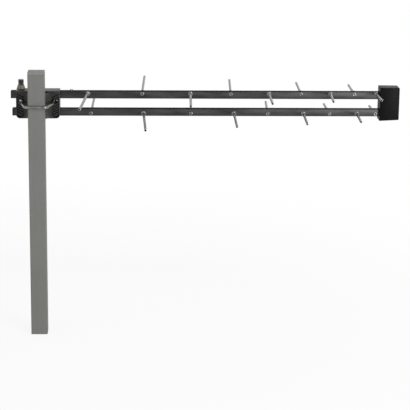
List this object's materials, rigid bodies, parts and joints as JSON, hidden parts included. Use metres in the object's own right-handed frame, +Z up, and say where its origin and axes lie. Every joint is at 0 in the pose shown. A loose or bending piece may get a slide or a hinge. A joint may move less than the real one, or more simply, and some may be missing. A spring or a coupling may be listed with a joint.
{
  "type": "log-periodic antenna",
  "caption": "Directional UHF antenna: two square booms carrying graded dipole rods, clamped near their rear end to a square mast, with a threaded coaxial socket and a front cap.",
  "frame": {"origin": "centre of the mast's foot", "axes": "+X along the booms to the front cap, +Y from the mast to the booms, +Z up the mast"},
  "size_m": [0.6431, 0.3299, 0.442],
  "materials": {
    "mast_paint": "flat grey paint",
    "mast_cap_plastic": "matt grey moulded plastic",
    "boom_aluminium": "extruded tube, dull dark grey",
    "rod_aluminium": "drawn tube, weathered",
    "black_plastic": "black moulded plastic, satin",
    "saddle_plastic": "dark grey moulded plastic",
    "plug_plastic": "black plastic",
    "cap_plastic": "black moulded plastic, satin",
    "zinc_steel": "zinc plate, dulled",
    "socket_metal": "dull nickel plate",
    "white_insulation": "natural white plastic",
    "contact_brass": "plain brass",
    "tinned_braid": "tinned copper braid",
    "copper": "bare copper",
    "spacer_plastic": "natural plastic"
  },
  "bodies": {
    "mast": {"mast_tube": "mast_paint", "mast_cap": "mast_cap_plastic"},
    "antenna": {"upper_boom": "boom_aluminium", "lower_boom": "boom_aluminium", "upper_rear_plug": "plug_plastic", "lower_rear_plug": "plug_plastic", "dipole_1_upper_rod": "rod_aluminium", "dipole_1_lower_rod": "rod_aluminium", "dipole_2_upper_rod": "rod_aluminium", "dipole_2_lower_rod": "rod_aluminium", "dipole_3_upper_rod": "rod_aluminium", "dipole_3_lower_rod": "rod_aluminium", "dipole_4_upper_rod": "rod_aluminium", "dipole_4_lower_rod": "rod_aluminium", "dipole_5_upper_rod": "rod_aluminium", "dipole_5_lower_rod": "rod_aluminium", "dipole_6_upper_rod": "rod_aluminium", "dipole_6_lower_rod": "rod_aluminium", "dipole_7_upper_rod": "rod_aluminium", "dipole_7_lower_rod": "rod_aluminium", "dipole_8_upper_rod": "rod_aluminium", "dipole_8_lower_rod": "rod_aluminium", "dipole_9_upper_rod": "rod_aluminium", "dipole_9_lower_rod": "rod_aluminium", "boom_top_screw": "zinc_steel", "clamp_front_shell": "black_plastic", "clamp_rear_shell": "black_plastic", "shell_screws": "zinc_steel", "boom_lock_screws": "zinc_steel", "mast_saddle": "saddle_plastic", "left_washer": "zinc_steel", "right_washer": "zinc_steel", "socket_body": "socket_metal", "socket_insulator": "white_insulation", "socket_contact": "contact_brass", "coax_jacket": "tinned_braid", "coax_dielectric": "white_insulation", "coax_core": "copper", "braid_lug": "tinned_braid", "core_lug": "contact_brass", "lug_screws": "zinc_steel", "boom_spacer": "spacer_plastic", "cap_shell": "cap_plastic", "cap_back_plate": "cap_plastic"},
    "bow": {"clamp_bow": "zinc_steel"},
    "left_nut_body": {"left_nut": "zinc_steel"},
    "right_nut_body": {"right_nut": "zinc_steel"}
  },
  "joints": [
    {"name": "height_on_mast", "type": "slide", "parent": "mast", "child": "antenna", "axis": [0, 0, 1], "range_m": [-0.3, 0.035]},
    {"name": "left_nut_spin", "type": "hinge", "parent": "antenna", "child": "left_nut_body", "pos_m": [-0.025, 0.065, 0.385], "axis": [0, 1, 0], "range_deg": [0, 1800]},
    {"name": "right_nut_spin", "type": "hinge", "parent": "antenna", "child": "right_nut_body", "pos_m": [0.025, 0.065, 0.385], "axis": [0, 1, 0], "range_deg": [0, 1800]},
    {"name": "bow_slack", "type": "slide", "parent": "antenna", "child": "bow", "axis": [0, -1, 0], "range_m": [0, 0.004]}
  ],
  "couplings": [
    {"joint": "left_nut_spin", "follows": "bow_slack", "rad_per_m": 7853.9},
    {"joint": "right_nut_spin", "follows": "bow_slack", "rad_per_m": 7853.9}
  ]
}
